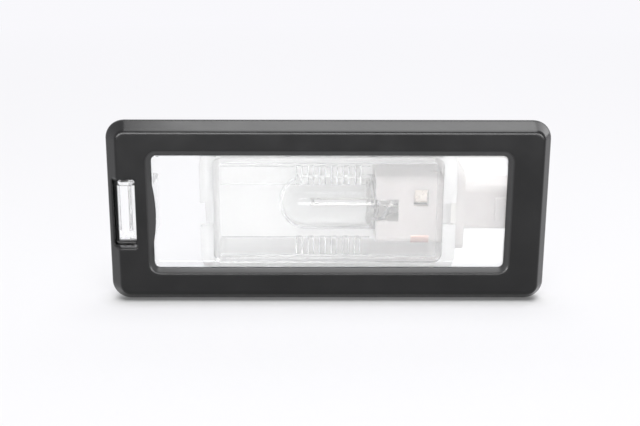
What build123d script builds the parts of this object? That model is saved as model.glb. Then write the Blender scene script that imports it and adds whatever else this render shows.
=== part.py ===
from build123d import *
import os

# A car's number plate lamp: a clear lens held in a black rubber frame, with a white
# tub, a capless bulb and its plug-in holder behind. Millimetres, +X along the lamp,
# +Z up, the lens faces -Y. The frame's seat on the car's panel is the plane Y = 0.

# Rubber frame
frame_length = 76.0
frame_height = 32.0
frame_depth = 4.0
frame_corner = 3.2
edge_slant = 1.5
left_slant = 2.0
face_corner = 1.5
face_round = 0.7
frame_back_bevel = 1.2
rim_land = 0.4
rim_round = 0.4
frame_wall = 1.7
front_lip = 1.0
left_bar = 7.8
right_bar = 7.4
top_bar = 5.8
bottom_bar = 6.2
window_corner = 1.0
window_bevel = 0.9
seat_side = 4.5
seat_top = 4.0
opening_corner = 1.5

# Release slot in the frame's left end, and the strip that bows out beside it
slot_height = 12.2
slot_corner = 0.4
slot_rim = 0.95
slot_lap = 0.45
sight_side = 0.55
sight_drop = 1.0
bulge_length = 14.4
bulge_rise = 1.0
bulge_thickness = 0.3

# Clear lens
flange_thickness = 1.8
pane_rise = 0.4
pane_chamfer = 0.15
skirt_thickness = 1.0
skirt_height = 1.4
pad_length = 25.8
pad_height = 3.2
pad_thickness = 0.6
pad_margin = 0.45
pad_x = -5.7
flute_count = 6
flute_pitch = 2.03
flute_radius = 0.6
flute_x = 0.0

# Spring latch and hooks of the lens
panel_grip = 2.2
leg_thickness = 1.1
latch_width = 9.2
latch_bend = 0.9
latch_depth = 6.4
web_thickness = 1.2
tab_sink = 0.3
tab_lift = 0.4
tab_chamfer = 0.45
catch_reach = 2.0
catch_length = 3.6
catch_land = 0.6
hook_thickness = 1.5
hook_width = 4.0
hook_margin = 1.0
hook_reach = 2.2
hook_length = 2.4

# White tub
tub_length = 42.8
tub_corner = 3.0
tub_bevel = 1.6
tub_wall = 1.4
rim_width = 0.8
rim_thickness = 1.0
rib_spacing = 12.0
rib_count = 3
rib_thickness = 1.2
rib_rise = 0.7
vent_height = 4.0
vent_depth = 1.2

# Bulb
axis_z = -0.5
bulb_tip_x = -8.8
bulb_diameter = 10.0
bulb_wall = 0.6
bulb_length = 26.4
tube_length = 17.3
pinch_length = 3.1
wedge_margin = 0.25
wedge_thickness = 2.1
wire_diameter = 0.4
wire_spacing = 3.8
wire_bend = 0.45
wire_fold = 4.6
coil_x = -2.6
coil_diameter = 0.5

# Bulb holder and its plug socket
holder_mouth_x = 8.4
body_wall = 1.05
body_height = 12.0
body_corner = 1.2
mouth_depth = 2.4
wedge_slot_height = 5.4
wedge_slot_depth = 11.2
pocket_height = 1.6
pocket_width = 4.2
pocket_depth = 9.0
seal_thickness = 0.9
collar_land = 1.1
collar_margin = 1.15
collar_corner = 2.0
holder_flange = 1.5
shroud_width = 9.2
shroud_height = 8.0
shroud_length = 10.4
shroud_wall = 1.1
shroud_corner = 1.2
ramp_width = 4.0
ramp_rise = 1.1
ramp_length = 3.6
ramp_land = 0.6
barb_rise = 0.6
barb_length = 2.2
barb_width = 4.0
base_window_length = 4.0
base_window_height = 4.0
contact_window_length = 2.6
contact_window_height = 3.0

# Bronze contacts
contact_thickness = 0.4
contact_width = 2.4
contact_spacing = 4.2
contact_bend = 0.5
contact_rise = 2.3
contact_lead = 0.6
contact_touch = 3.4
contact_step = 0.6
blade_recess = 4.7

# Clearances
groove_gap = 0.05
pane_gap = 0.12
bulge_gap = 0.05
tab_gap = 1.0
strip_gap = 0.1
notch_gap = 0.6
leg_gap = 0.35
skirt_gap = 0.1
rim_gap = 0.3
lens_gap = 0.05
collar_gap = 0.05
holder_gap = 0.15
barb_gap = 0.2
bulb_gap = 0.2
wire_gap = 0.02
coil_gap = 0.02
slit_gap = 0.05

# Outlines that follow from the frame
slant_depth = frame_depth - frame_back_bevel - rim_land
window_length = frame_length - left_bar - right_bar
window_height = frame_height - top_bar - bottom_bar
window_x = (left_bar - right_bar) / 2
window_z = (bottom_bar - top_bar) / 2
opening_length = frame_length - 2 * seat_side
opening_height = frame_height - 2 * seat_top
flange_length = frame_length - 2 * (frame_wall + groove_gap)
flange_height = frame_height - 2 * (frame_wall + groove_gap)
flange_corner = frame_corner - frame_wall
slot_width = seat_side - slot_rim + slot_lap
slot_x = (slot_width - frame_length) / 2 + slot_rim
slot_left = slot_x - slot_width / 2
slot_right = slot_x + slot_width / 2
tab_left = slot_left + tab_gap
tab_right = slot_right - strip_gap
tab_height = slot_height - 2 * tab_gap
sight_left = tab_left - sight_side

# The tub fills the frame's opening and is as deep as the bulb's wedge is wide
wedge_width = bulb_diameter - 2 * wedge_margin
body_width = wedge_width + 2 * (bulb_gap + body_wall)
collar_width = body_width + 2 * collar_land
collar_height = body_height + 2 * collar_land
tub_height = opening_height - 2 * (rim_width + rim_gap)
tub_depth = rim_thickness + collar_gap + collar_width + collar_margin
skirt_length = tub_length - 2 * (tub_wall + skirt_gap)
skirt_width = tub_height - 2 * (tub_wall + skirt_gap)
skirt_corner = tub_corner - tub_wall - skirt_gap
pad_z = skirt_width / 2 - skirt_thickness - pad_margin - pad_height / 2

# Planes across the lamp's depth, from the front backwards
y_front = -frame_depth
y_groove_front = y_front + front_lip
y_flange_front = y_groove_front + groove_gap
y_flange_back = y_flange_front + flange_thickness
y_groove_back = y_flange_back + groove_gap
y_pane = y_flange_front - pane_rise
y_tub_front = y_flange_back + lens_gap
y_tub_back = y_tub_front + tub_depth
axis_y = y_tub_front + rim_thickness + collar_gap + collar_width / 2

# Stations along the bulb's axis
bulb_radius = bulb_diameter / 2
tube_end_x = bulb_tip_x + tube_length
pinch_end_x = tube_end_x + pinch_length
wedge_end_x = bulb_tip_x + bulb_length
seat_x = tub_length / 2
flange_x = seat_x + seal_thickness
shroud_x = flange_x + holder_flange
socket_x = shroud_x + shroud_length
wedge_slot_end_x = holder_mouth_x + wedge_slot_depth
fold_x = wedge_end_x + wire_bend


def front_plane(y):
    """Sketch plane facing the front at depth y, with local x along X and local y up."""
    return Plane.XZ.offset(-y)


def end_plane(x):
    """Sketch plane across the lamp at x, centred on the bulb's axis, facing +X."""
    return Plane(origin=(x, axis_y, axis_z), x_dir=(0, 1, 0), z_dir=(1, 0, 0))


def lead_wire(side, radius):
    """One lead wire of the bulb; side is 1 for the upper fold and -1 for the lower."""
    wire_y = axis_y - side * wire_spacing / 2
    fold_z = axis_z + side * ((wedge_thickness + wire_diameter) / 2 + wire_gap)
    with BuildPart() as wire:
        with BuildLine() as path:
            Polyline(
                (coil_x - coil_diameter, wire_y, axis_z),
                (fold_x, wire_y, axis_z),
                (fold_x, wire_y, fold_z),
                (fold_x - wire_fold, wire_y, fold_z),
            )
        with BuildSketch(Plane(origin=path.line @ 0, z_dir=path.line % 0)):
            Circle(radius)
        sweep(transition=Transition.RIGHT)
    return wire.part


def contact(side):
    """One contact strip; side is 1 for the strip above the wedge and -1 for below."""
    wire_top = wedge_thickness / 2 + wire_diameter + 2 * wire_gap
    touch = wire_top + contact_thickness / 2
    middle_y = axis_y - side * contact_spacing / 2
    with BuildPart() as strip:
        with BuildSketch(front_plane(middle_y)):
            with BuildLine():
                FilletPolyline(
                    (pinch_end_x + contact_lead, axis_z + side * contact_rise),
                    (wedge_end_x - contact_touch, axis_z + side * touch),
                    (wedge_end_x - contact_lead, axis_z + side * contact_rise),
                    (fold_x + wire_diameter, axis_z + side * contact_rise),
                    (fold_x + wire_diameter + contact_step, axis_z),
                    (socket_x - blade_recess, axis_z),
                    radius=contact_bend,
                )
            trace(line_width=contact_thickness)
        extrude(amount=contact_width / 2, both=True)
    return strip.part


# Rubber frame: slanted sides, bevelled window, a groove for the lens's flange
with BuildPart() as gasket:
    with BuildSketch(front_plane(0)):
        RectangleRounded(frame_length, frame_height, frame_corner)
    extrude(amount=frame_depth - slant_depth)
    with BuildSketch(front_plane(y_front + slant_depth)):
        RectangleRounded(frame_length, frame_height, frame_corner)
    with BuildSketch(front_plane(y_front)):
        with Locations(((left_slant - edge_slant) / 2, 0)):
            RectangleRounded(
                frame_length - left_slant - edge_slant,
                frame_height - 2 * edge_slant,
                face_corner,
            )
    loft()
    fillet(gasket.faces().sort_by(Axis.Y)[0].edges(), face_round)
    chamfer(gasket.faces().sort_by(Axis.Y)[-1].edges(), frame_back_bevel)
    for y_rim in (y_front + slant_depth, -frame_back_bevel):
        rim_edges = gasket.edges().filter_by_position(
            Axis.Y, y_rim - rim_land / 4, y_rim + rim_land / 4
        )
        fillet(rim_edges, rim_round)
    with BuildSketch(front_plane(y_groove_front)):
        with Locations((window_x, window_z)):
            RectangleRounded(window_length, window_height, window_corner)
    extrude(amount=front_lip, mode=Mode.SUBTRACT)
    with BuildSketch(front_plane(y_pane)):
        with Locations((window_x, window_z)):
            RectangleRounded(window_length, window_height, window_corner)
    with BuildSketch(front_plane(y_front)):
        with Locations((window_x, window_z)):
            RectangleRounded(
                window_length + 2 * window_bevel,
                window_height + 2 * window_bevel,
                window_corner + window_bevel,
            )
    loft(mode=Mode.SUBTRACT)
    with BuildSketch(front_plane(y_groove_back)):
        RectangleRounded(
            flange_length + 2 * groove_gap,
            flange_height + 2 * groove_gap,
            flange_corner + groove_gap,
        )
    extrude(amount=y_groove_back - y_groove_front, mode=Mode.SUBTRACT)
    with BuildSketch(front_plane(0)):
        RectangleRounded(opening_length, opening_height, opening_corner)
    extrude(amount=-y_groove_back, mode=Mode.SUBTRACT)
    with BuildSketch(front_plane(y_groove_back)):
        with Locations((slot_x, 0)):
            RectangleRounded(slot_width, slot_height, slot_corner)
    extrude(amount=y_groove_back - y_front, mode=Mode.SUBTRACT)
    with BuildSketch(front_plane(0)):
        with Locations(((sight_left + slot_right) / 2, tab_lift - sight_drop)):
            Rectangle(slot_right - sight_left, tab_height)
    extrude(amount=-y_groove_back, mode=Mode.SUBTRACT)
    with BuildSketch(front_plane(y_pane - bulge_gap)):
        bulge_x = window_x - window_length / 2 - window_bevel / 2
        with BuildLine():
            ThreePointArc(
                (bulge_x, bulge_length / 2),
                (bulge_x + bulge_rise, 0),
                (bulge_x, -bulge_length / 2),
            )
            Line((bulge_x, -bulge_length / 2), (bulge_x, bulge_length / 2))
        make_face()
    extrude(amount=bulge_thickness)

# Clear lens: flange, raised pane, skirt, fluted bands, spring latch and two hooks
with BuildPart() as lens:
    with BuildSketch(front_plane(y_flange_back)):
        RectangleRounded(flange_length, flange_height, flange_corner)
    extrude(amount=flange_thickness)
    with BuildSketch(front_plane(y_flange_front)):
        with Locations((window_x, window_z)):
            RectangleRounded(
                window_length - 2 * pane_gap,
                window_height - 2 * pane_gap,
                window_corner - pane_gap,
            )
    extrude(amount=pane_rise)
    chamfer(lens.faces().sort_by(Axis.Y)[0].edges(), pane_chamfer)

    # The flange is cut away round the latch
    leg_outer_x = leg_gap - opening_length / 2
    leg_inner_x = leg_outer_x + leg_thickness
    notch_right = leg_inner_x + notch_gap
    notch_length = notch_right + flange_length / 2
    with BuildSketch(front_plane(y_flange_back)):
        with Locations((notch_right - notch_length / 2, 0)):
            Rectangle(notch_length, slot_height)
    extrude(amount=flange_thickness, mode=Mode.SUBTRACT)

    # Skirt that locates the tub
    with BuildSketch(front_plane(y_flange_back + skirt_height)):
        RectangleRounded(skirt_length, skirt_width, skirt_corner)
        RectangleRounded(
            skirt_length - 2 * skirt_thickness,
            skirt_width - 2 * skirt_thickness,
            skirt_corner - skirt_thickness,
            mode=Mode.SUBTRACT,
        )
    extrude(amount=skirt_height)

    # Two bands on the back of the pane, fluted over their right part
    for band_z in (-pad_z, pad_z):
        with BuildSketch(front_plane(y_flange_back + pad_thickness)):
            with Locations((pad_x, band_z)):
                Rectangle(pad_length, pad_height)
        extrude(amount=pad_thickness)
        with BuildSketch(Plane.XY.offset(band_z)):
            with Locations((flute_x, y_flange_back + pad_thickness)):
                with GridLocations(flute_pitch, flute_pitch, flute_count, 1):
                    Circle(flute_radius)
        extrude(amount=pad_height / 2, both=True)

    # Spring latch: a leg back from the flange, a bend, a leg forward with the catch
    leg_x = leg_outer_x + leg_thickness / 2
    root_x = leg_x + 2 * latch_bend
    bend_x = leg_x + latch_bend
    y_web_back = (y_groove_front + y_groove_back + web_thickness) / 2
    with BuildSketch(Plane.XY):
        with Locations((bend_x, latch_depth)):
            Circle(latch_bend + leg_thickness / 2)
            Circle(latch_bend - leg_thickness / 2, mode=Mode.SUBTRACT)
            Rectangle(
                4 * latch_bend,
                4 * latch_bend,
                align=(Align.CENTER, Align.MAX),
                mode=Mode.SUBTRACT,
            )
        with Locations((root_x, latch_depth)):
            Rectangle(leg_thickness, latch_depth - y_flange_back, align=(Align.CENTER, Align.MAX))
        with Locations((leg_x, latch_depth)):
            Rectangle(
                leg_thickness,
                latch_depth - y_web_back + web_thickness,
                align=(Align.CENTER, Align.MAX),
            )
        with Locations((tab_left, y_web_back)):
            Rectangle(leg_x - tab_left, web_thickness, align=(Align.MIN, Align.MAX))
        with BuildLine():
            Polyline(
                (leg_x, panel_grip),
                (leg_outer_x - catch_reach, panel_grip),
                (leg_outer_x - catch_reach, panel_grip + catch_land),
                (leg_outer_x, panel_grip + catch_length),
                (leg_x, panel_grip + catch_length),
                close=True,
            )
        make_face()
    extrude(amount=latch_width / 2, both=True)
    y_tab_front = y_front + tab_sink
    with BuildSketch(front_plane(y_web_back)):
        with Locations(((tab_left + tab_right) / 2, tab_lift)):
            Rectangle(tab_right - tab_left, tab_height)
    extrude(amount=y_web_back - y_tab_front)
    chamfer(lens.faces().sort_by(Axis.Y)[0].edges(), tab_chamfer)

    # Hooks at the right end
    hook_x = opening_length / 2 - leg_gap
    hook_offset = opening_height / 2 - hook_margin - hook_width / 2
    y_hook_back = panel_grip + hook_length
    for hook_z in (-hook_offset, hook_offset):
        with BuildSketch(Plane.XY.offset(hook_z)):
            with BuildLine():
                Polyline(
                    (hook_x - hook_thickness, y_flange_back),
                    (hook_x, y_flange_back),
                    (hook_x, panel_grip),
                    (hook_x + hook_reach, panel_grip),
                    (hook_x + hook_reach, panel_grip + hook_length / 2),
                    (hook_x + hook_reach / 2, y_hook_back),
                    (hook_x - hook_thickness, y_hook_back),
                    close=True,
                )
            make_face()
        extrude(amount=hook_width / 2, both=True)

# White tub: bevelled back, vented rim behind the lens, ribs, collar for the holder
with BuildPart() as housing:
    with BuildSketch(front_plane(y_tub_back)):
        RectangleRounded(tub_length, tub_height, tub_corner)
    extrude(amount=tub_depth)
    chamfer(housing.faces().sort_by(Axis.Y)[-1].edges(), tub_bevel)
    with BuildSketch(front_plane(y_tub_front + rim_thickness)):
        RectangleRounded(
            tub_length + 2 * rim_width,
            tub_height + 2 * rim_width,
            tub_corner + rim_width,
        )
    extrude(amount=rim_thickness)
    for rib_place in GridLocations(rib_spacing, rib_spacing, rib_count, 1):
        with BuildSketch(Plane.YZ.offset(rib_place.position.X)) as rib:
            with Locations((y_tub_front, 0)):
                Rectangle(
                    tub_depth + rib_rise,
                    tub_height + 2 * rib_rise,
                    align=(Align.MIN, Align.CENTER),
                )
            chamfer(rib.vertices().group_by(Axis.X)[-1], tub_bevel + rib_rise / 2)
        extrude(amount=rib_thickness / 2, both=True)
    with BuildSketch(end_plane(seat_x)):
        RectangleRounded(collar_width, collar_height, collar_corner)
    extrude(amount=-tub_wall)
    with BuildSketch(front_plane(y_tub_back - tub_wall)):
        RectangleRounded(
            tub_length - 2 * tub_wall,
            tub_height - 2 * tub_wall,
            tub_corner - tub_wall,
        )
    extrude(amount=tub_depth - tub_wall, mode=Mode.SUBTRACT)
    with BuildSketch(front_plane(y_tub_front + vent_depth)):
        with Locations((0, axis_z)):
            Rectangle(tub_length + 4 * rim_width, vent_height)
    extrude(amount=vent_depth, mode=Mode.SUBTRACT)
    with BuildSketch(end_plane(seat_x)):
        RectangleRounded(
            body_width + 2 * holder_gap,
            body_height + 2 * holder_gap,
            body_corner + holder_gap,
        )
    extrude(amount=-tub_corner, mode=Mode.SUBTRACT)

# Bulb holder: body with the wedge slot, flange, and the plug socket on its end
with BuildPart() as bulb_holder:
    with BuildSketch(end_plane(holder_mouth_x)):
        RectangleRounded(body_width, body_height, body_corner)
    extrude(amount=flange_x - holder_mouth_x)
    with BuildSketch(end_plane(flange_x)):
        RectangleRounded(collar_width, collar_height, collar_corner)
    extrude(amount=holder_flange)
    with BuildSketch(end_plane(shroud_x)):
        RectangleRounded(shroud_width, shroud_height, shroud_corner)
    extrude(amount=shroud_length)
    with BuildSketch(end_plane(socket_x)):
        RectangleRounded(
            shroud_width - 2 * shroud_wall,
            shroud_height - 2 * shroud_wall,
            shroud_corner / 2,
        )
    extrude(amount=-shroud_length, mode=Mode.SUBTRACT)

    # Way in for the bulb: round mouth, then the slot for its wedge and the contacts
    with BuildSketch(end_plane(holder_mouth_x)):
        Circle(bulb_radius + bulb_gap)
    extrude(amount=mouth_depth, mode=Mode.SUBTRACT)
    with BuildSketch(end_plane(holder_mouth_x)):
        Rectangle(wedge_width + 2 * bulb_gap, wedge_slot_height)
    extrude(amount=wedge_slot_depth, mode=Mode.SUBTRACT)
    with BuildSketch(end_plane(wedge_slot_end_x)):
        for side in (-1, 1):
            with Locations((-side * contact_spacing / 2, 0)):
                Rectangle(contact_width + 2 * slit_gap, contact_thickness + 2 * slit_gap)
    extrude(amount=shroud_x - wedge_slot_end_x, mode=Mode.SUBTRACT)

    # Cored pockets above and below the wedge slot
    pocket_z = (body_height + wedge_slot_height) / 4
    with BuildSketch(end_plane(holder_mouth_x)):
        with GridLocations(pocket_width + shroud_wall, 2 * pocket_z, 2, 2):
            Rectangle(pocket_width, pocket_height)
    extrude(amount=pocket_depth, mode=Mode.SUBTRACT)

    # Openings in the front wall, on the bulb's pinch and on the upper contact
    y_body_front = axis_y - body_width / 2
    y_slot_front = axis_y - wedge_width / 2 - bulb_gap
    base_window_x = holder_mouth_x + base_window_length / 2
    contact_window_x = wedge_end_x - contact_window_length / 2
    with BuildSketch(front_plane(y_slot_front)):
        with Locations((base_window_x, axis_z)):
            Rectangle(base_window_length, base_window_height)
        with Locations((contact_window_x, axis_z + contact_rise)):
            Rectangle(contact_window_length, contact_window_height)
    extrude(amount=y_slot_front - y_body_front, mode=Mode.SUBTRACT)

    # Ramp that locks the plug, and barbs that hold the holder in the tub
    y_shroud_front = axis_y - shroud_width / 2
    ramp_x = socket_x - shroud_wall
    with BuildSketch(Plane.XY.offset(axis_z)):
        with BuildLine():
            Polyline(
                (ramp_x, y_shroud_front),
                (ramp_x - ramp_length + ramp_land, y_shroud_front - ramp_rise),
                (ramp_x - ramp_length, y_shroud_front - ramp_rise),
                (ramp_x - ramp_length, y_shroud_front),
                close=True,
            )
        make_face()
    extrude(amount=ramp_width / 2, both=True)
    barb_x = seat_x - tub_wall - barb_gap
    with BuildSketch(front_plane(axis_y)):
        for side in (-1, 1):
            body_edge = axis_z + side * body_height / 2
            with BuildLine():
                Polyline(
                    (barb_x - barb_length, body_edge),
                    (barb_x, body_edge),
                    (barb_x, body_edge + side * barb_rise),
                    close=True,
                )
            make_face()
    extrude(amount=barb_width / 2, both=True)

# Rubber ring round the holder's body, between its flange and the tub's collar
with BuildPart() as holder_seal:
    with BuildSketch(end_plane(seat_x)):
        RectangleRounded(collar_width, collar_height, collar_corner)
        RectangleRounded(
            body_width + 2 * holder_gap,
            body_height + 2 * holder_gap,
            body_corner + holder_gap,
            mode=Mode.SUBTRACT,
        )
    extrude(amount=seal_thickness)

# Bulb glass: dome, tube and pressed wedge, blown hollow, bored for its two wires
dome_bands = 4
dome_angles = [90 * step / dome_bands for step in range(dome_bands + 1)]
dome_x = bulb_tip_x + bulb_radius
with BuildPart() as bulb_glass:
    axis_plane = Plane(origin=(0, axis_y, axis_z), x_dir=(1, 0, 0), z_dir=(0, 0, 1))
    bulb_axis = Axis((0, axis_y, axis_z), (1, 0, 0))
    bore_radius = bulb_radius - bulb_wall
    with BuildSketch(axis_plane):
        outer_dome = [
            Vector(dome_x, 0) + Vector(-bulb_radius, 0).rotate(Axis.Z, -angle)
            for angle in dome_angles
        ]
        with BuildLine():
            Polyline(
                *outer_dome,
                (tube_end_x, bulb_radius),
                (tube_end_x + pinch_length / 3, wedge_width / 2),
                (wedge_end_x, wedge_width / 2),
                (wedge_end_x, 0),
                close=True,
            )
        make_face()
    revolve(axis=bulb_axis)
    for side in (-1, 1):
        with BuildSketch(front_plane(axis_y)):
            with BuildLine():
                Polyline(
                    (tube_end_x, axis_z + side * bulb_radius),
                    (tube_end_x + pinch_length / 3, axis_z + side * (bulb_radius - bulb_wall)),
                    (pinch_end_x - pinch_length / 3, axis_z + side * wedge_thickness),
                    (pinch_end_x, axis_z + side * wedge_thickness / 2),
                    (wedge_end_x, axis_z + side * wedge_thickness / 2),
                    (wedge_end_x, axis_z + side * bulb_radius),
                    close=True,
                )
            make_face()
        extrude(amount=wedge_width, both=True, mode=Mode.SUBTRACT)
    with BuildSketch(axis_plane):
        inner_dome = [
            Vector(dome_x, 0) + Vector(-bore_radius, 0).rotate(Axis.Z, -angle)
            for angle in dome_angles
        ]
        with BuildLine():
            Polyline(
                *inner_dome,
                (tube_end_x - pinch_length / 3, bore_radius),
                (tube_end_x + bulb_wall, bore_radius / 2),
                (tube_end_x + bulb_wall, 0),
                close=True,
            )
        make_face()
    revolve(axis=bulb_axis, mode=Mode.SUBTRACT)
    for side in (-1, 1):
        add(lead_wire(side, wire_diameter / 2 + wire_gap), mode=Mode.SUBTRACT)

# Filament: the coil between the tips of the two wires, as a plain rod
coil_length = wire_spacing - wire_diameter - 2 * coil_gap
with BuildPart() as bulb_filament:
    with BuildSketch(front_plane(axis_y)):
        with Locations((coil_x, axis_z)):
            Circle(coil_diameter / 2)
    extrude(amount=coil_length / 2, both=True)

with BuildPart() as bulb_wire_upper:
    add(lead_wire(1, wire_diameter / 2))

with BuildPart() as bulb_wire_lower:
    add(lead_wire(-1, wire_diameter / 2))

with BuildPart() as contact_upper:
    add(contact(1))

with BuildPart() as contact_lower:
    add(contact(-1))

gasket.part.label = "gasket"
lens.part.label = "lens"
housing.part.label = "housing"
bulb_holder.part.label = "bulb_holder"
holder_seal.part.label = "holder_seal"
contact_upper.part.label = "contact_upper"
contact_lower.part.label = "contact_lower"
bulb_glass.part.label = "bulb_glass"
bulb_filament.part.label = "bulb_filament"
bulb_wire_upper.part.label = "bulb_wire_upper"
bulb_wire_lower.part.label = "bulb_wire_lower"

os.makedirs("parts", exist_ok=True)
export_step(gasket.part, "parts/gasket.step")
export_step(lens.part, "parts/lens.step")
export_step(housing.part, "parts/housing.step")
export_step(bulb_holder.part, "parts/bulb_holder.step")
export_step(holder_seal.part, "parts/holder_seal.step")
export_step(contact_upper.part, "parts/contact_upper.step")
export_step(contact_lower.part, "parts/contact_lower.step")
export_step(bulb_glass.part, "parts/bulb_glass.step")
export_step(bulb_filament.part, "parts/bulb_filament.step")
export_step(bulb_wire_upper.part, "parts/bulb_wire_upper.step")
export_step(bulb_wire_lower.part, "parts/bulb_wire_lower.step")
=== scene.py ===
"""Blender scene of a car's number plate lamp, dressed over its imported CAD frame.

Metres, in the frame of the CAD: +X along the lamp, +Z up, the lens faces -Y, and the
lamp's seat on the car's panel is the plane Y = 0. The lamp stands on its lower edge.
"""

import logging
import math
from collections.abc import Sequence
from dataclasses import dataclass, field
from enum import Enum, IntEnum

import bmesh
import bpy
from mathutils import Matrix, Vector, geometry


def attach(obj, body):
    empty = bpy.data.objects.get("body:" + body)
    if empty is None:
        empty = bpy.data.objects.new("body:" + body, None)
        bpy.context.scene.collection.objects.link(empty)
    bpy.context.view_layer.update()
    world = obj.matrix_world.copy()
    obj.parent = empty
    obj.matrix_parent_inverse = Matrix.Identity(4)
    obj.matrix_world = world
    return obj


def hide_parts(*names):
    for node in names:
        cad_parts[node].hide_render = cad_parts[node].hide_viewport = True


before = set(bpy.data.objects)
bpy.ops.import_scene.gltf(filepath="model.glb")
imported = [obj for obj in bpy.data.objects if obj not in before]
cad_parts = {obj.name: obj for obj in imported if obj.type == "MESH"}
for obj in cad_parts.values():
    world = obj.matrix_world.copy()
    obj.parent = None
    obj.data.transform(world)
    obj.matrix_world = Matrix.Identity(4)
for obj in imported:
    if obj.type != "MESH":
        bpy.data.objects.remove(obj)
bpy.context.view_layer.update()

log = logging.getLogger("plate_lamp")

MM = 0.001
BODY = "root"

Colour = tuple[float, float, float, float]
Point = tuple[float, float]
Triple = tuple[float, float, float]

WHITE: Colour = (1.0, 1.0, 1.0, 1.0)
PLAIN_WHITE: Colour = (0.945, 0.94, 0.972, 1.0)
EVEN: Triple = (1.0, 1.0, 1.0)
X_AXIS = Vector((1.0, 0.0, 0.0))
Y_AXIS = Vector((0.0, 1.0, 0.0))
Z_AXIS = Vector((0.0, 0.0, 1.0))

# The range that a noise seldom leaves, and how many finer layers it has
NOISE_LOW = 0.3
NOISE_HIGH = 0.7
TINT_DETAIL = 3.0
RELIEF_DETAIL = 2.0

# Rays that the nodes for soft edges and for shelter send out
NODE_RAYS = 8

# Exponent of a section that is a plain ellipse
ELLIPSE = 2.0


class Side(Enum):
    """Which of two matching pieces is meant."""

    UPPER = "upper"
    LOWER = "lower"


class Shade(Enum):
    """Whether a mesh is shaded as smooth or as flat faces."""

    SMOOTH = True
    FLAT = False


class MixSocket(IntEnum):
    """Sockets of a colour mix node, by place, as their names repeat for each kind of value."""

    SHARE = 0
    FIRST = 6
    SECOND = 7
    RESULT = 2


class NodeSheet:
    """The node tree of one material or world, with short calls to add and join nodes."""

    def __init__(self, tree: bpy.types.NodeTree) -> None:
        """Start from an empty tree.

        Args:
            tree: the node tree to fill.
        """
        self.tree = tree
        self.tree.nodes.clear()

    def add(
        self, kind: str, values: dict[str, object] | None = None, **settings: object
    ) -> bpy.types.Node:
        """Add one node.

        Args:
            kind: the node's type name.
            values: constant values, by the name of the input socket.
            **settings: the node's own properties.

        Returns:
            The new node.
        """
        node = self.tree.nodes.new(kind)
        for name, value in settings.items():
            setattr(node, name, value)
        for name, value in (values or {}).items():
            node.inputs[name].default_value = value
        return node

    def join(self, source: bpy.types.NodeSocket, target: bpy.types.NodeSocket) -> None:
        """Link an output socket to an input socket."""
        self.tree.links.new(source, target)

    def noise(self, size: float, detail: float, stretch: Triple = EVEN) -> bpy.types.Node:
        """Add solid noise that is fixed to the lamp.

        Args:
            size: size of one blotch of the noise, in metres.
            detail: how many finer layers are added to it.
            stretch: relative frequency along X, Y and Z.

        Returns:
            The noise node.
        """
        place = self.add("ShaderNodeTexCoord")
        scale = self.add("ShaderNodeMapping", {"Scale": stretch})
        noise = self.add("ShaderNodeTexNoise", {"Scale": 1 / size, "Detail": detail})
        self.join(place.outputs["Object"], scale.inputs["Vector"])
        self.join(scale.outputs["Vector"], noise.inputs["Vector"])
        return noise

    def spread(
        self, source: bpy.types.NodeSocket, low: float, high: float
    ) -> bpy.types.NodeSocket:
        """Map the middle range of a noise to two values.

        Args:
            source: the noise's output.
            low: value where the noise is low.
            high: value where the noise is high.

        Returns:
            The mapped output.
        """
        ends = {
            "From Min": NOISE_LOW,
            "From Max": NOISE_HIGH,
            "To Min": low,
            "To Max": high,
        }
        mapped = self.add("ShaderNodeMapRange", ends)
        self.join(source, mapped.inputs["Value"])
        return mapped.outputs["Result"]

    def mix(
        self,
        share: bpy.types.NodeSocket,
        first: Colour | bpy.types.NodeSocket,
        second: Colour,
    ) -> bpy.types.NodeSocket:
        """Mix two colours.

        Args:
            share: the output that says how much of the second colour there is.
            first: the first colour, or an output that gives it.
            second: the second colour.

        Returns:
            The colour output.
        """
        mixed = self.add("ShaderNodeMix", data_type="RGBA")
        if isinstance(first, bpy.types.NodeSocket):
            self.join(first, mixed.inputs[MixSocket.FIRST])
        else:
            mixed.inputs[MixSocket.FIRST].default_value = first
        mixed.inputs[MixSocket.SECOND].default_value = second
        self.join(share, mixed.inputs[MixSocket.SHARE])
        return mixed.outputs[MixSocket.RESULT]

    def blend(
        self, source: bpy.types.NodeSocket, dark: Colour, light: Colour
    ) -> bpy.types.NodeSocket:
        """Blend two colours by a noise.

        Args:
            source: the noise's output.
            dark: colour where the noise is low.
            light: colour where the noise is high.

        Returns:
            The colour output.
        """
        return self.mix(self.spread(source, 0.0, 1.0), dark, light)

    def relief(
        self, source: bpy.types.NodeSocket, depth: float, soften: float
    ) -> bpy.types.NodeSocket:
        """Turn a noise into bumps, over edges that may be softened.

        Args:
            source: the noise's output.
            depth: height of the bumps, in metres.
            soften: radius of the softened edges, in metres, or 0 for crisp ones.

        Returns:
            The normal output.
        """
        bump = self.add("ShaderNodeBump", {"Strength": 1.0, "Distance": depth})
        self.join(source, bump.inputs["Height"])
        if soften:
            edges = self.add("ShaderNodeBevel", {"Radius": soften}, samples=NODE_RAYS)
            self.join(edges.outputs["Normal"], bump.inputs["Normal"])
        return bump.outputs["Normal"]


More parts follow.
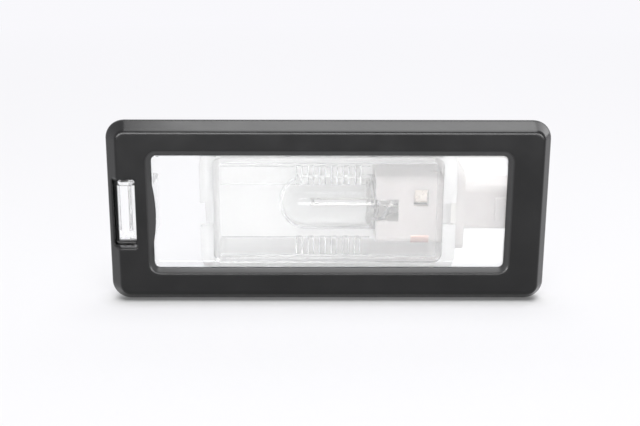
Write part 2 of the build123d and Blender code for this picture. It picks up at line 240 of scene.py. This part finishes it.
@dataclass(frozen=True)
class PaintedRimHighlight:
    """A paler tint round a window, a painted highlight for the light that its bevel reflects.

    Attributes:
        middle: the window's middle.
        half: half its size along X and Z, and 0 along Y.
        corner: radius of its corners.
        width: how far the tint reaches out from it.
        fade: how far the tint's edge is blurred to either side.
        tint: the paler tint of the painted highlight.
    """

    middle: Triple
    half: Triple
    corner: float
    width: float
    fade: float
    tint: Colour

    def paint_highlight(self, sheet: NodeSheet, base: bpy.types.NodeSocket) -> bpy.types.NodeSocket:
        """Lay the painted highlight's paler tint over a colour.

        Args:
            sheet: the node tree of the material.
            base: the colour that it is laid over.

        Returns:
            The colour output.
        """
        # How far a place lies outside the window's straight sides, seen from the front
        front = X_AXIS + Z_AXIS
        steps = (
            ("SUBTRACT", Vector(self.middle)),
            ("MULTIPLY", front),
            ("ABSOLUTE", Vector()),
            ("SUBTRACT", Vector(self.half) - self.corner * front),
            ("MAXIMUM", Vector()),
        )
        along = sheet.add("ShaderNodeTexCoord").outputs["Object"]
        for operation, value in steps:
            step = sheet.add("ShaderNodeVectorMath", operation=operation)
            step.inputs[1].default_value = value
            sheet.join(along, step.inputs[0])
            along = step.outputs["Vector"]
        reach = sheet.add("ShaderNodeVectorMath", operation="LENGTH")
        edge = self.corner + self.width
        ends = {"From Min": edge + self.fade, "From Max": edge - self.fade}
        share = sheet.add("ShaderNodeMapRange", ends)
        sheet.join(along, reach.inputs[0])
        sheet.join(reach.outputs["Value"], share.inputs["Value"])
        return sheet.mix(share.outputs["Result"], base, self.tint)


@dataclass(frozen=True)
class Haze:
    """Haze of a clear moulding, which ends short of its latch.

    Attributes:
        end: X where the haze ends.
        fade: how far its end is blurred to either side.
        hazy: share of the light that passes where it is hazy.
        clear: share of the light that passes beyond it.
    """

    end: float
    fade: float
    hazy: float
    clear: float

    def passing(self, sheet: NodeSheet) -> bpy.types.NodeSocket:
        """Work out the share of the light that passes at each place.

        Args:
            sheet: the node tree of the material.

        Returns:
            The output with that share.
        """
        place = sheet.add("ShaderNodeTexCoord")
        axes = sheet.add("ShaderNodeSeparateXYZ")
        ends = {
            "From Min": self.end - self.fade,
            "From Max": self.end + self.fade,
            "To Min": self.clear,
            "To Max": self.hazy,
        }
        share = sheet.add("ShaderNodeMapRange", ends)
        sheet.join(place.outputs["Object"], axes.inputs["Vector"])
        sheet.join(axes.outputs["X"], share.inputs["Value"])
        return share.outputs["Result"]


@dataclass(frozen=True)
class Finish:
    """A surface with slow changes of tint and gloss and a fine relief.

    Attributes:
        name: name of the material.
        dark: its darker tint.
        light: its lighter tint.
        blotch: size of the changes of tint and gloss, in metres.
        gloss: least and greatest roughness.
        grain: size of the fine relief, in metres.
        depth: height of the fine relief, in metres.
        stretch: relative frequency of the relief along X, Y and Z.
        soften: radius of the edges that are softened, in metres.
        rim_highlight: where a paler tint is painted on as a highlight, if it is.
        haze: where a clear material is hazy, if it is.
        constants: the shader's values that are the same all over.
    """

    name: str
    dark: Colour
    light: Colour
    blotch: float
    gloss: tuple[float, float]
    grain: float
    depth: float
    stretch: Triple = EVEN
    soften: float = 0.0
    rim_highlight: PaintedRimHighlight | None = None
    haze: Haze | None = None
    constants: dict[str, object] = field(default_factory=dict)

    def material(self) -> bpy.types.Material:
        """Make the material.

        Returns:
            The new material.
        """
        material = bpy.data.materials.new(self.name)
        material.use_nodes = True
        sheet = NodeSheet(material.node_tree)
        output = sheet.add("ShaderNodeOutputMaterial")
        shader = sheet.add("ShaderNodeBsdfPrincipled", self.constants)
        tint = sheet.noise(self.blotch, TINT_DETAIL)
        relief = sheet.noise(self.grain, RELIEF_DETAIL, self.stretch)
        colour = sheet.blend(tint.outputs["Fac"], self.dark, self.light)
        # Painted highlight: a paler tint round the window for the light on its bevel
        if self.rim_highlight:
            colour = self.rim_highlight.paint_highlight(sheet, colour)
        if self.haze:
            sheet.join(self.haze.passing(sheet), shader.inputs["Transmission Weight"])
        sheet.join(colour, shader.inputs["Base Color"])
        sheet.join(
            sheet.spread(tint.outputs["Fac"], *self.gloss), shader.inputs["Roughness"]
        )
        sheet.join(
            sheet.relief(relief.outputs["Fac"], self.depth, self.soften),
            shader.inputs["Normal"],
        )
        sheet.join(shader.outputs["BSDF"], output.inputs["Surface"])
        return material


@dataclass(frozen=True)
class StageFinish:
    """The pale floor: matt for the light, and partly plain white for what looks at it.

    Attributes:
        name: name of the material.
        paper: colour of the matt floor.
        seen: colour of the plain white.
        share: how much of what is seen round the lamp is the plain white.
        contact: how near the lamp the floor is all matt, so that it holds the shadow.
        shelter: how open the floor has to be there before any plain white shows.
        fade: distances between which the floor changes to the plain white.
    """

    name: str
    paper: Colour
    seen: Colour
    share: float
    contact: float
    shelter: float
    fade: tuple[float, float]

    def material(self) -> bpy.types.Material:
        """Make the floor's material.

        Returns:
            The new material.
        """
        material = bpy.data.materials.new(self.name)
        material.use_nodes = True
        sheet = NodeSheet(material.node_tree)
        output = sheet.add("ShaderNodeOutputMaterial")
        matt = sheet.add("ShaderNodeBsdfDiffuse", {"Color": self.paper})
        plain = sheet.add("ShaderNodeEmission", {"Color": self.seen, "Strength": 1.0})
        shelter = sheet.add(
            "ShaderNodeAmbientOcclusion", {"Distance": self.contact}, samples=NODE_RAYS
        )
        clear = sheet.add(
            "ShaderNodeMapRange", {"From Min": self.shelter, "From Max": 1.0}
        )
        place = sheet.add("ShaderNodeTexCoord")
        reach = sheet.add("ShaderNodeVectorMath", operation="LENGTH")
        near, far = self.fade
        ends = {"From Min": near, "From Max": far, "To Min": self.share, "To Max": 1.0}
        away = sheet.add("ShaderNodeMapRange", ends)
        open_floor = sheet.add("ShaderNodeMath", operation="MULTIPLY")
        weight = sheet.add("ShaderNodeMath", operation="MULTIPLY")
        mixed = sheet.add("ShaderNodeMixShader")
        sheet.join(shelter.outputs["AO"], clear.inputs["Value"])
        sheet.join(place.outputs["Object"], reach.inputs[0])
        sheet.join(reach.outputs["Value"], away.inputs["Value"])
        sheet.join(clear.outputs["Result"], open_floor.inputs[0])
        sheet.join(away.outputs["Result"], open_floor.inputs[1])
        sheet.join(seen_directly(sheet), weight.inputs[0])
        sheet.join(open_floor.outputs["Value"], weight.inputs[1])
        sheet.join(weight.outputs["Value"], mixed.inputs[0])
        sheet.join(matt.outputs["BSDF"], mixed.inputs[1])
        sheet.join(plain.outputs["Emission"], mixed.inputs[2])
        sheet.join(mixed.outputs["Shader"], output.inputs["Surface"])
        return material


def seen_directly(sheet: NodeSheet) -> bpy.types.NodeSocket:
    """Tell rays that look at a thing, or mirror or pass it on, from rays of its light.

    Args:
        sheet: the node tree that asks.

    Returns:
        An output that is 1 for camera, glossy and transmission rays, and 0 for others.
    """
    path = sheet.add("ShaderNodeLightPath")
    either = sheet.add("ShaderNodeMath", operation="MAXIMUM")
    any_of = sheet.add("ShaderNodeMath", operation="MAXIMUM")
    sheet.join(path.outputs["Is Camera Ray"], either.inputs[0])
    sheet.join(path.outputs["Is Glossy Ray"], either.inputs[1])
    sheet.join(either.outputs["Value"], any_of.inputs[0])
    sheet.join(path.outputs["Is Transmission Ray"], any_of.inputs[1])
    return any_of.outputs["Value"]


# Finishes of the lamp's pieces and of the floor
BLACK_RUBBER = Finish(
    name="black_rubber",
    dark=(0.0015, 0.0015, 0.0016, 1.0),
    light=(0.003, 0.003, 0.0032, 1.0),
    blotch=6.0 * MM,
    gloss=(0.16, 0.22),
    grain=0.12 * MM,
    depth=0.003 * MM,
    soften=0.6 * MM,
    # Painted highlight: a paler tint on the window's bevel for the light that it reflects
    rim_highlight=PaintedRimHighlight(
        middle=(0.2 * MM, 0.0, 0.2 * MM),
        half=(30.4 * MM, 0.0, 10.0 * MM),
        corner=1.0 * MM,
        width=0.85 * MM,
        fade=0.2 * MM,
        tint=(0.028, 0.028, 0.0285, 1.0),
    ),
    constants={"Specular IOR Level": 0.38},
)
CLEAR_LENS = Finish(
    name="clear_lens",
    dark=(0.985, 0.99, 0.99, 1.0),
    light=WHITE,
    blotch=9.0 * MM,
    gloss=(0.01, 0.03),
    grain=3.0 * MM,
    depth=0.004 * MM,
    haze=Haze(end=-20.0 * MM, fade=1.0 * MM, hazy=0.82, clear=0.98),
    constants={"IOR": 1.49, "Transmission Weight": 1.0},
)
WHITE_PLASTIC = Finish(
    name="white_plastic",
    dark=(0.972, 0.972, 0.968, 1.0),
    light=(0.986, 0.986, 0.982, 1.0),
    blotch=5.0 * MM,
    gloss=(0.34, 0.44),
    grain=0.2 * MM,
    depth=0.003 * MM,
    constants={
        "Subsurface Weight": 1.0,
        "Subsurface Radius": EVEN,
        "Subsurface Scale": 5.0 * MM,
    },
)
PALE_PLASTIC = Finish(
    name="pale_plastic",
    dark=(0.57, 0.535, 0.526, 1.0),
    light=(0.64, 0.605, 0.597, 1.0),
    blotch=4.0 * MM,
    gloss=(0.36, 0.48),
    grain=0.18 * MM,
    depth=0.004 * MM,
    constants={
        "Subsurface Weight": 1.0,
        "Subsurface Radius": EVEN,
        "Subsurface Scale": 1.5 * MM,
    },
)
SEAL_RUBBER = Finish(
    name="seal_rubber",
    dark=(0.66, 0.64, 0.61, 1.0),
    light=(0.74, 0.72, 0.69, 1.0),
    blotch=2.0 * MM,
    gloss=(0.45, 0.60),
    grain=0.1 * MM,
    depth=0.004 * MM,
)
BRONZE = Finish(
    name="bronze",
    dark=(0.80, 0.71, 0.62, 1.0),
    light=(0.88, 0.80, 0.72, 1.0),
    blotch=1.5 * MM,
    gloss=(0.22, 0.36),
    grain=0.25 * MM,
    depth=0.002 * MM,
    stretch=(0.15, 2.0, 2.0),
    constants={"Metallic": 1.0},
)
COPPER = Finish(
    name="copper",
    dark=(0.56, 0.33, 0.27, 1.0),
    light=(0.66, 0.43, 0.37, 1.0),
    blotch=1.2 * MM,
    gloss=(0.30, 0.42),
    grain=0.2 * MM,
    depth=0.002 * MM,
    stretch=(0.15, 2.0, 2.0),
    constants={"Metallic": 1.0},
)
BULB_GLASS = Finish(
    name="bulb_glass",
    dark=(0.985, 0.99, 0.985, 1.0),
    light=WHITE,
    blotch=5.0 * MM,
    gloss=(0.0, 0.015),
    grain=2.5 * MM,
    depth=0.008 * MM,
    constants={"IOR": 1.5, "Transmission Weight": 1.0},
)
TUNGSTEN = Finish(
    name="tungsten",
    dark=(0.24, 0.23, 0.22, 1.0),
    light=(0.36, 0.35, 0.33, 1.0),
    blotch=0.4 * MM,
    gloss=(0.35, 0.50),
    grain=0.05 * MM,
    depth=0.001 * MM,
    constants={"Metallic": 1.0},
)
LEAD_WIRE = Finish(
    name="lead_wire",
    dark=(0.50, 0.48, 0.45, 1.0),
    light=(0.64, 0.62, 0.59, 1.0),
    blotch=1.2 * MM,
    gloss=(0.24, 0.36),
    grain=0.1 * MM,
    depth=0.001 * MM,
    stretch=(0.1, 2.0, 2.0),
    constants={"Metallic": 1.0},
)
WHITE_FLOOR = StageFinish(
    name="white_floor",
    paper=(0.77, 0.77, 0.776, 1.0),
    seen=PLAIN_WHITE,
    share=0.6,
    contact=4.0 * MM,
    shelter=0.65,
    fade=(0.10, 0.45),
)


def dress_node(name: str, finish: Finish) -> bpy.types.Object:
    """Give a CAD node its finish.

    Args:
        name: name of the node.
        finish: what its surface is.

    Returns:
        The node's object.
    """
    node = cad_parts[name]
    node.data.materials.clear()
    node.data.materials.append(finish.material())
    return node


def new_piece(name: str, mesh: bmesh.types.BMesh, shade: Shade) -> bpy.types.Object:
    """Turn a finished mesh into a piece that rides with the lamp.

    Args:
        name: name of the piece.
        mesh: its mesh, which is freed.
        shade: how its faces are shaded.

    Returns:
        The new object.
    """
    data = bpy.data.meshes.new(name)
    mesh.to_mesh(data)
    mesh.free()
    for face in data.polygons:
        face.use_smooth = shade.value
    piece = bpy.data.objects.new(name, data)
    bpy.context.scene.collection.objects.link(piece)
    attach(piece, BODY)
    return piece


def skin_rings(mesh: bmesh.types.BMesh, rings: Sequence[Sequence[Vector]]) -> None:
    """Join closed rings of points by faces, and close the first and last with a cap.

    Args:
        mesh: the mesh that the faces are added to.
        rings: rings of as many points each, in order.
    """
    rows = [[mesh.verts.new(point) for point in ring] for ring in rings]
    count = len(rows[0])
    for row, following in zip(rows, rows[1:]):
        for place in range(count):
            after = (place + 1) % count
            mesh.faces.new((row[place], row[after], following[after], following[place]))
    mesh.faces.new(list(reversed(rows[0])))
    mesh.faces.new(rows[-1])


def millimetres(*points: Point) -> tuple[Point, ...]:
    """Turn points that are written in millimetres into metres."""
    return tuple((first * MM, second * MM) for first, second in points)


def eased(share: float) -> float:
    """Ease a share between 0 and 1, so that it starts and ends slowly."""
    return share * share * (3 - 2 * share)


@dataclass
class RubberFrame:
    """Black rubber frame that holds the lens and seals it on the car's panel.

    Attributes:
        finish: what its surface is.
    """

    finish: Finish = BLACK_RUBBER

    def dress(self) -> list[bpy.types.Object]:
        """Dress the frame's CAD node and return it."""
        return [dress_node("gasket", self.finish)]


@dataclass
class ClearLens:
    """Clear moulded lens with its flutes, spring latch and hooks.

    Attributes:
        finish: what its surface is.
    """

    finish: Finish = CLEAR_LENS

    def dress(self) -> list[bpy.types.Object]:
        """Dress the lens's CAD node and return it."""
        return [dress_node("lens", self.finish)]


@dataclass
class WhiteTub:
    """White tub behind the lens.

    Attributes:
        finish: what its surface is.
    """

    finish: Finish = WHITE_PLASTIC

    def dress(self) -> list[bpy.types.Object]:
        """Dress the tub's CAD node and return it."""
        return [dress_node("housing", self.finish)]


@dataclass
class BentStrip:
    """A strip of sheet metal, bent along a path that lies across the lamp.

    Attributes:
        name: name of the piece.
        x: where the middle of the strip lies along the lamp.
        width: width of the strip.
        thickness: thickness of the strip.
        bends: the path as Bezier curves, each of four points of Y and Z.
        finish: what its surface is.
        steps: number of points along each curve.
        worn: how much of each half of the width is worn round, as a share.
        edge: how high the strip is at its edges, as a share of the thickness.
    """

    name: str
    x: float
    width: float
    thickness: float
    bends: tuple[tuple[Point, ...], ...]
    finish: Finish
    steps: int = 14
    worn: float = 0.03
    edge: float = 0.5

    def path(self) -> list[Vector]:
        """Work out the points along the middle of the strip, from one end to the other.

        Returns:
            The points in order.
        """
        points: list[Vector] = []
        for bend in self.bends:
            corners = [Vector((self.x, y, z)) for y, z in bend]
            curve = geometry.interpolate_bezier(*corners, self.steps)
            points += curve[1:] if points else curve
        return points

    def outline(self, middle: Vector, out: Vector) -> list[Vector]:
        """Work out the points of one cross-section, with its long edges worn round.

        Args:
            middle: the section's middle.
            out: the way that the strip's face looks there.

        Returns:
            The section's points in order.
        """
        across = Vector((self.width / 2, 0.0, 0.0))
        rise = out * self.thickness / 2
        inner = 1.0 - self.worn
        shares = [(-1.0, self.edge), (-inner, 1.0), (inner, 1.0), (1.0, self.edge)]
        shares += [(-share, -lift) for share, lift in shares]
        return [middle + across * share + rise * lift for share, lift in shares]

    def build(self) -> bpy.types.Object:
        """Build and dress the strip.

        Returns:
            The strip.
        """
        points = self.path()
        before = [points[0], *points[:-1]]
        after = [*points[1:], points[-1]]
        rings = []
        for last, middle, following in zip(before, points, after):
            along = (following - last).normalized()
            rings.append(self.outline(middle, along.cross(X_AXIS)))
        mesh = bmesh.new()
        skin_rings(mesh, rings)
        bmesh.ops.recalc_face_normals(mesh, faces=mesh.faces[:])
        strip = new_piece(self.name, mesh, Shade.FLAT)
        strip.data.materials.append(self.finish.material())
        return strip


@dataclass
class BulbHolder:
    """Plug-in holder of the bulb, with its seal and two contacts.

    Attributes:
        body: finish of the holder's moulding.
        seal: finish of its seal.
        strip: finish of its two contacts.
        tang: end of a contact, bent round the holder's lower front edge.
        lance: tongue of the upper contact that locks it in the holder's small window.
    """

    body: Finish = PALE_PLASTIC
    seal: Finish = SEAL_RUBBER
    strip: Finish = BRONZE
    tang: BentStrip = field(
        default_factory=lambda: BentStrip(
            name="contact_tang",
            x=16.2 * MM,
            width=3.2 * MM,
            thickness=0.16 * MM,
            bends=(
                millimetres((0.99, -5.03), (0.84, -5.75), (1.31, -6.44), (2.03, -6.57)),
            ),
            finish=COPPER,
        )
    )
    lance: BentStrip = field(
        default_factory=lambda: BentStrip(
            name="contact_lance",
            x=16.3 * MM,
            width=2.2 * MM,
            thickness=0.16 * MM,
            bends=(
                millimetres((1.36, 3.14), (1.39, 2.60), (1.42, 2.10), (1.48, 1.60)),
                millimetres((1.48, 1.60), (1.56, 0.95), (1.90, 0.70), (2.50, 0.74)),
                millimetres((2.50, 0.74), (3.10, 0.78), (3.60, 0.90), (4.20, 1.02)),
            ),
            finish=BRONZE,
        )
    )

    def dress(self) -> list[bpy.types.Object]:
        """Dress the holder's CAD nodes and build the bent strips.

        Returns:
            The holder's pieces.
        """
        pieces = [
            dress_node("bulb_holder", self.body),
            dress_node("holder_seal", self.seal),
            self.tang.build(),
            self.lance.build(),
        ]
        pieces += [dress_node(f"contact_{side.value}", self.strip) for side in Side]
        return pieces


@dataclass
class CaplessBulb:
    """Capless bulb: blown glass with a pressed wedge, a coiled filament and two wires.

    Attributes:
        axis: a point on the bulb's axis, which runs along X.
        tip: X of the dome's tip.
        radius: outer radius of the tube.
        wall: thickness of the blown glass.
        tube_end: X where the tube begins to flatten.
        wedge_start: X where the flat wedge begins.
        wedge_end: X of the wedge's end.
        wedge_half: half width and half thickness of the wedge.
        wedge_round: length of the round at the wedge's end.
        wedge_square: exponent of the wedge's section, higher for squarer corners.
        pinch: least width and height of the hollow's closed end, as shares of the bore.
        pinch_lead: how far before the tube's end the hollow begins to close, as a share
            of the length that flattens.
        coil_x: X of the filament.
        coil_half: half length of the filament.
        coil_radius: radius of the filament's turns.
        strand: radius of the filament's own wire.
        turns: number of the filament's turns.
        glass: finish of the glass.
        filament: finish of the filament.
        wire: finish of the two wires.
        around: number of points round a section of the glass.
        dome_angles: angles of the dome's sections from its tip, in degrees.
        flat_steps: number of steps in which the tube flattens.
        round_shares: places of the sections along the round at the wedge's end.
        pinch_angles: angles of the sections that close the hollow, in degrees.
        coil_steps: number of steps in a turn of the filament.
        strand_corners: number of points round the filament's own wire.
    """

    axis: Vector = field(default_factory=lambda: Vector((0.0, 7.05 * MM, -0.5 * MM)))
    tip: float = -8.8 * MM
    radius: float = 5.0 * MM
    wall: float = 0.6 * MM
    tube_end: float = 8.5 * MM
    wedge_start: float = 11.6 * MM
    wedge_end: float = 17.6 * MM
    wedge_half: tuple[float, float] = (4.75 * MM, 1.05 * MM)
    wedge_round: float = 0.3 * MM
    wedge_square: float = 7.0
    pinch: tuple[float, float] = (0.45, 0.25)
    pinch_lead: float = 1 / 3
    coil_x: float = -2.6 * MM
    coil_half: float = 1.68 * MM
    coil_radius: float = 0.22 * MM
    strand: float = 0.03 * MM
    turns: int = 18
    glass: Finish = BULB_GLASS
    filament: Finish = TUNGSTEN
    wire: Finish = LEAD_WIRE
    around: int = 56
    dome_angles: tuple[int, ...] = (3, 8, 15, 23, 32, 42, 53, 65, 77, 90)
    flat_steps: int = 14
    round_shares: tuple[float, ...] = (0.0, 0.5, 0.8, 0.95)
    pinch_angles: tuple[int, ...] = (0, 15, 30, 45, 60, 72, 82)
    coil_steps: int = 14
    strand_corners: int = 6

    def ring(self, x: float, half_y: float, half_z: float, square: float) -> list[Vector]:
        """Work out the points of one cross-section, from a circle to a rounded rectangle.

        Args:
            x: where the section lies along the axis.
            half_y: its half width.
            half_z: its half thickness.
            square: its exponent, which is higher for squarer corners.

        Returns:
            The section's points in order.
        """
        middle = Vector((x, self.axis.y, self.axis.z))
        points = []
        for step in range(self.around):
            turn = math.tau * step / self.around
            across, rise = math.cos(turn), math.sin(turn)
            out_y = half_y * math.copysign(abs(across) ** (ELLIPSE / square), across)
            out_z = half_z * math.copysign(abs(rise) ** (ELLIPSE / square), rise)
            points.append(middle + Vector((0.0, out_y, out_z)))
        return points

    def dome(self, radius: float) -> list[list[Vector]]:
        """Work out the dome's sections at one radius, from near its tip to its widest.

        Args:
            radius: radius of the dome.

        Returns:
            The dome's sections.
        """
        middle = self.tip + self.radius
        sections = []
        for angle in self.dome_angles:
            turn = math.radians(angle)
            half = radius * math.sin(turn)
            sections.append(self.ring(middle - radius * math.cos(turn), half, half, ELLIPSE))
        return sections

    def outside(self) -> list[list[Vector]]:
        """Work out the sections of the glass's outside, from the tip to the wedge's end.

        Returns:
            The sections in order.
        """
        sections = self.dome(self.radius)
        flat_y, flat_z = self.wedge_half
        for step in range(self.flat_steps + 1):
            share = step / self.flat_steps
            ease = eased(share)
            sections.append(
                self.ring(
                    self.tube_end + share * (self.wedge_start - self.tube_end),
                    self.radius + ease * (flat_y - self.radius),
                    self.radius + ease * (flat_z - self.radius),
                    ELLIPSE + ease * (self.wedge_square - ELLIPSE),
                )
            )
        for share in self.round_shares:
            inset = self.wedge_round * (1 - math.sqrt(1 - share * share))
            sections.append(
                self.ring(
                    self.wedge_end - self.wedge_round * (1 - share),
                    flat_y - inset,
                    flat_z - inset,
                    self.wedge_square,
                )
            )
        return sections

    def inside(self) -> list[list[Vector]]:
        """Work out the sections of the hollow in the glass, from the tip to the pinch.

        Returns:
            The sections in order.
        """
        bore = self.radius - self.wall
        wide, high = self.pinch
        sections = self.dome(bore)
        start = self.tube_end - (self.wedge_start - self.tube_end) * self.pinch_lead
        length = self.tube_end + self.wall - start
        for angle in self.pinch_angles:
            turn = math.radians(angle)
            sections.append(
                self.ring(
                    start + length * math.sin(turn),
                    bore * (wide + (1 - wide) * math.cos(turn)),
                    bore * (high + (1 - high) * math.cos(turn)),
                    ELLIPSE,
                )
            )
        return sections

    def build_glass(self) -> bpy.types.Object:
        """Build the blown and pressed glass.

        Returns:
            The glass, which stands for its CAD node.
        """
        mesh = bmesh.new()
        skin_rings(mesh, self.outside())
        outer = len(mesh.faces)
        skin_rings(mesh, self.inside())
        mesh.faces.ensure_lookup_table()
        bmesh.ops.recalc_face_normals(mesh, faces=mesh.faces[:outer])
        bmesh.ops.recalc_face_normals(mesh, faces=mesh.faces[outer:])
        bmesh.ops.reverse_faces(mesh, faces=mesh.faces[outer:])
        glass = new_piece("bulb_glass_blown", mesh, Shade.SMOOTH)
        glass.data.materials.append(self.glass.material())
        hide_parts("bulb_glass")
        return glass

    def build_coil(self) -> bpy.types.Object:
        """Build the coiled filament between the tips of the wires.

        Returns:
            The filament, which stands for its CAD node.
        """
        count = self.strand_corners
        corners = [math.tau * corner / count for corner in range(count)]
        offsets = [
            (self.strand * math.cos(corner), self.strand * math.sin(corner))
            for corner in corners
        ]
        middle = Vector((self.coil_x, self.axis.y, self.axis.z))
        rise = 2 * (self.coil_half - self.strand) / self.turns
        rings = []
        for step in range(self.turns * self.coil_steps + 1):
            turn = math.tau * step / self.coil_steps
            out = Vector((math.cos(turn), 0.0, math.sin(turn)))
            along = self.strand - self.coil_half + rise * step / self.coil_steps
            centre = middle + self.coil_radius * out + Vector((0.0, along, 0.0))
            rings.append([centre + far * out + side * Y_AXIS for far, side in offsets])
        mesh = bmesh.new()
        skin_rings(mesh, rings)
        bmesh.ops.recalc_face_normals(mesh, faces=mesh.faces[:])
        coil = new_piece("filament_coil", mesh, Shade.SMOOTH)
        coil.data.materials.append(self.filament.material())
        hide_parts("bulb_filament")
        return coil

    def dress(self) -> list[bpy.types.Object]:
        """Build the glass and the coil, and dress the wires.

        Returns:
            The bulb's pieces.
        """
        pieces = [self.build_glass(), self.build_coil()]
        pieces += [dress_node(f"bulb_wire_{side.value}", self.wire) for side in Side]
        return pieces


@dataclass
class Softbox:
    """One soft lamp of the studio.

    Attributes:
        name: name of the lamp.
        place: where it hangs.
        aim: the point that it faces.
        size: its width and height.
        power: its power in watts.
        only: the one CAD node that it lights, or nothing if it lights all pieces.
    """

    name: str
    place: Vector
    aim: Vector
    size: tuple[float, float]
    power: float
    only: str = ""

    def build(self) -> bpy.types.Object:
        """Hang the lamp.

        Returns:
            The lamp's object.
        """
        data = bpy.data.lights.new(self.name, "AREA")
        data.shape = "RECTANGLE"
        data.size, data.size_y = self.size
        data.energy = self.power
        lamp = bpy.data.objects.new(self.name, data)
        lamp.location = self.place
        lamp.rotation_euler = (self.aim - self.place).to_track_quat("-Z", "Y").to_euler()
        bpy.context.scene.collection.objects.link(lamp)
        if self.only:
            lit = bpy.data.collections.new(self.name)
            lit.objects.link(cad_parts[self.only])
            lamp.light_linking.receiver_collection = lit
        return lamp


@dataclass
class Studio:
    """Pale floor, soft light and the camera.

    Attributes:
        floor_z: height of the floor, under the lamp's lower edge.
        floor_half: half the floor's length.
        aim: the point that the camera looks at.
        distance: from the camera to that point.
        pitch: how far the camera looks down, in degrees.
        yaw: how far it looks to the right, in degrees.
        roll: how far it is turned about its own axis, in degrees.
        focal: its focal length, in millimetres.
        sensor: width of its sensor, in millimetres.
        clip: least and greatest distance that it sees.
        ambient: strength of the light from all round.
        backdrop: colour of the surroundings where they are seen.
        floor: finish of the floor.
        softboxes: the soft lamps.
    """

    floor_z: float = -16.0 * MM
    floor_half: float = 4.0
    aim: Vector = field(default_factory=lambda: Vector((-1.47, -4.0, 0.28)) * MM)
    distance: float = 186.7 * MM
    pitch: float = 16.0
    yaw: float = 0.63
    roll: float = 0.22
    focal: float = 61.24
    sensor: float = 36.0
    clip: tuple[float, float] = (0.01, 20.0)
    ambient: float = 0.25
    backdrop: Colour = PLAIN_WHITE
    floor: StageFinish = WHITE_FLOOR
    softboxes: tuple[Softbox, ...] = (
        Softbox(
            name="top_softbox",
            place=Vector((0.05, -0.10, 0.60)),
            aim=Vector((0.05, 0.0, 0.0)),
            size=(0.36, 0.70),
            power=4.15,
        ),
        Softbox(
            name="back_softbox",
            place=Vector((0.0, 0.75, 0.60)),
            aim=Vector((0.0, 0.75, 0.0)),
            size=(1.4, 0.6),
            power=4.0,
        ),
        Softbox(
            name="front_softbox",
            place=Vector((0.0, -0.62, 0.06)),
            aim=Vector((0.0, 0.0, 0.0)),
            size=(1.10, 0.12),
            power=5.8,
        ),
        Softbox(
            name="side_softbox",
            place=Vector((0.64, 0.29, 0.50)),
            aim=Vector((0.04, 0.0, 0.0)),
            size=(0.30, 1.10),
            power=3.1,
            only="gasket",
        ),
    )

    def build_floor(self) -> bpy.types.Object:
        """Lay the floor.

        Returns:
            The floor's object.
        """
        half = self.floor_half
        corners = [(-half, -half), (half, -half), (half, half), (-half, half)]
        data = bpy.data.meshes.new("floor")
        data.from_pydata([(x, y, self.floor_z) for x, y in corners], [], [(0, 1, 2, 3)])
        floor = bpy.data.objects.new("floor", data)
        floor.data.materials.append(self.floor.material())
        bpy.context.scene.collection.objects.link(floor)
        return floor

    def build_world(self) -> None:
        """Light the scene from all round, with a plain white where it is seen."""
        world = bpy.data.worlds.new("studio")
        world.use_nodes = True
        bpy.context.scene.world = world
        sheet = NodeSheet(world.node_tree)
        output = sheet.add("ShaderNodeOutputWorld")
        light = sheet.add(
            "ShaderNodeBackground", {"Color": WHITE, "Strength": self.ambient}
        )
        seen = sheet.add(
            "ShaderNodeBackground", {"Color": self.backdrop, "Strength": 1.0}
        )
        mixed = sheet.add("ShaderNodeMixShader")
        sheet.join(seen_directly(sheet), mixed.inputs[0])
        sheet.join(light.outputs["Background"], mixed.inputs[1])
        sheet.join(seen.outputs["Background"], mixed.inputs[2])
        sheet.join(mixed.outputs["Shader"], output.inputs["Surface"])

    def build_camera(self) -> bpy.types.Object:
        """Set the camera where the photograph was taken from.

        Returns:
            The camera's object.
        """
        angles = (self.pitch, self.yaw, self.roll)
        pitch, yaw, roll = (math.radians(angle) for angle in angles)
        ahead = Vector(
            (
                math.sin(yaw) * math.cos(pitch),
                math.cos(yaw) * math.cos(pitch),
                -math.sin(pitch),
            )
        )
        right = ahead.cross(Z_AXIS).normalized()
        up = right.cross(ahead)
        rolled_right = math.cos(roll) * right + math.sin(roll) * up
        rolled_up = math.cos(roll) * up - math.sin(roll) * right
        turn = Matrix((rolled_right, rolled_up, -ahead)).transposed().to_4x4()
        data = bpy.data.cameras.new("camera")
        data.lens = self.focal
        data.sensor_fit = "HORIZONTAL"
        data.sensor_width = self.sensor
        data.clip_start, data.clip_end = self.clip
        camera = bpy.data.objects.new("camera", data)
        camera.matrix_world = Matrix.Translation(self.aim - self.distance * ahead) @ turn
        bpy.context.scene.collection.objects.link(camera)
        bpy.context.scene.camera = camera
        return camera

    def set_light_paths(self) -> None:
        """Let light through the clear pieces and about the white tub often enough."""
        paths = bpy.context.scene.cycles
        paths.max_bounces = 32
        paths.diffuse_bounces = 16
        paths.glossy_bounces = 8
        paths.transmission_bounces = 24

    def build(self) -> None:
        """Set up the whole studio."""
        bpy.context.scene.view_settings.view_transform = "Standard"
        self.set_light_paths()
        self.build_floor()
        self.build_world()
        self.build_camera()
        for softbox in self.softboxes:
            softbox.build()


def main() -> None:
    """Build the studio and the lamp's sub-assemblies in order."""
    logging.basicConfig(level=logging.INFO, format="%(name)s: %(message)s")
    Studio().build()
    for part in (RubberFrame(), ClearLens(), WhiteTub(), BulbHolder(), CaplessBulb()):
        for piece in part.dress():
            log.info("%s: %s", type(part).__name__, piece.name)


if __name__ == "__main__":
    main()
